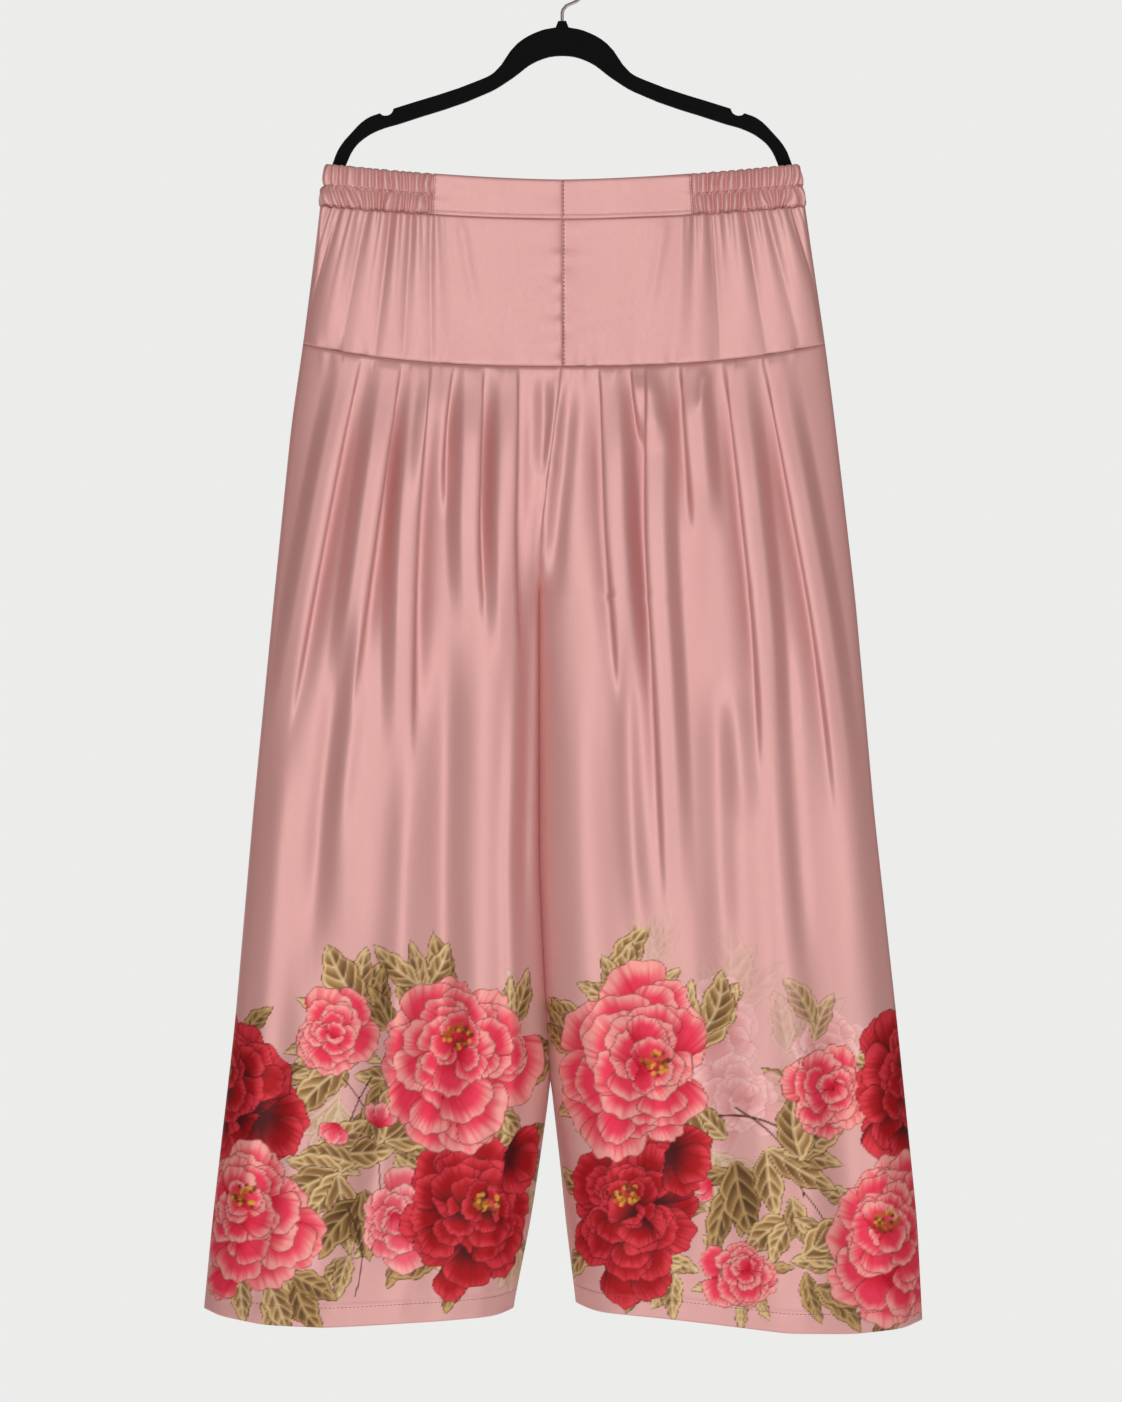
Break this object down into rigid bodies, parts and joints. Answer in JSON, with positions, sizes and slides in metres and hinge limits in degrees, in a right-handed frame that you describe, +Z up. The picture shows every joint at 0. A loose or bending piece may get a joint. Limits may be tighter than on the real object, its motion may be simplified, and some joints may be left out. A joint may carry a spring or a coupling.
{
  "type": "palazzo pants on a hanger",
  "caption": "Wide pleated palazzo trousers with a fitted yoke and part elastic waistband, hung on a flat hanger that grips the waist from inside.",
  "frame": {"origin": "where a rail touches the inside of the hanger's hook", "axes": "+Z up, the front of the trousers faces -Y, the wearer's left is +X"},
  "size_m": [0.6353, 0.0917, 1.214],
  "materials": {
    "satin": "satin, rose pink, printed floral border at the legs' lower part",
    "hanger_plastic": "matt, finely flocked",
    "hook_steel": "drawn wire"
  },
  "bodies": {
    "root": {"waistband_front_right": "satin", "waistband_front_left": "satin", "waistband_elastic_right": "satin", "waistband_elastic_left": "satin", "yoke_front_right": "satin", "yoke_front_left": "satin", "yoke_back_right": "satin", "yoke_back_left": "satin", "leg_front_right": "satin", "leg_front_left": "satin", "leg_back_right": "satin", "leg_back_left": "satin", "hanger_body": "hanger_plastic", "hanger_hook": "hook_steel"}
  },
  "joints": []
}
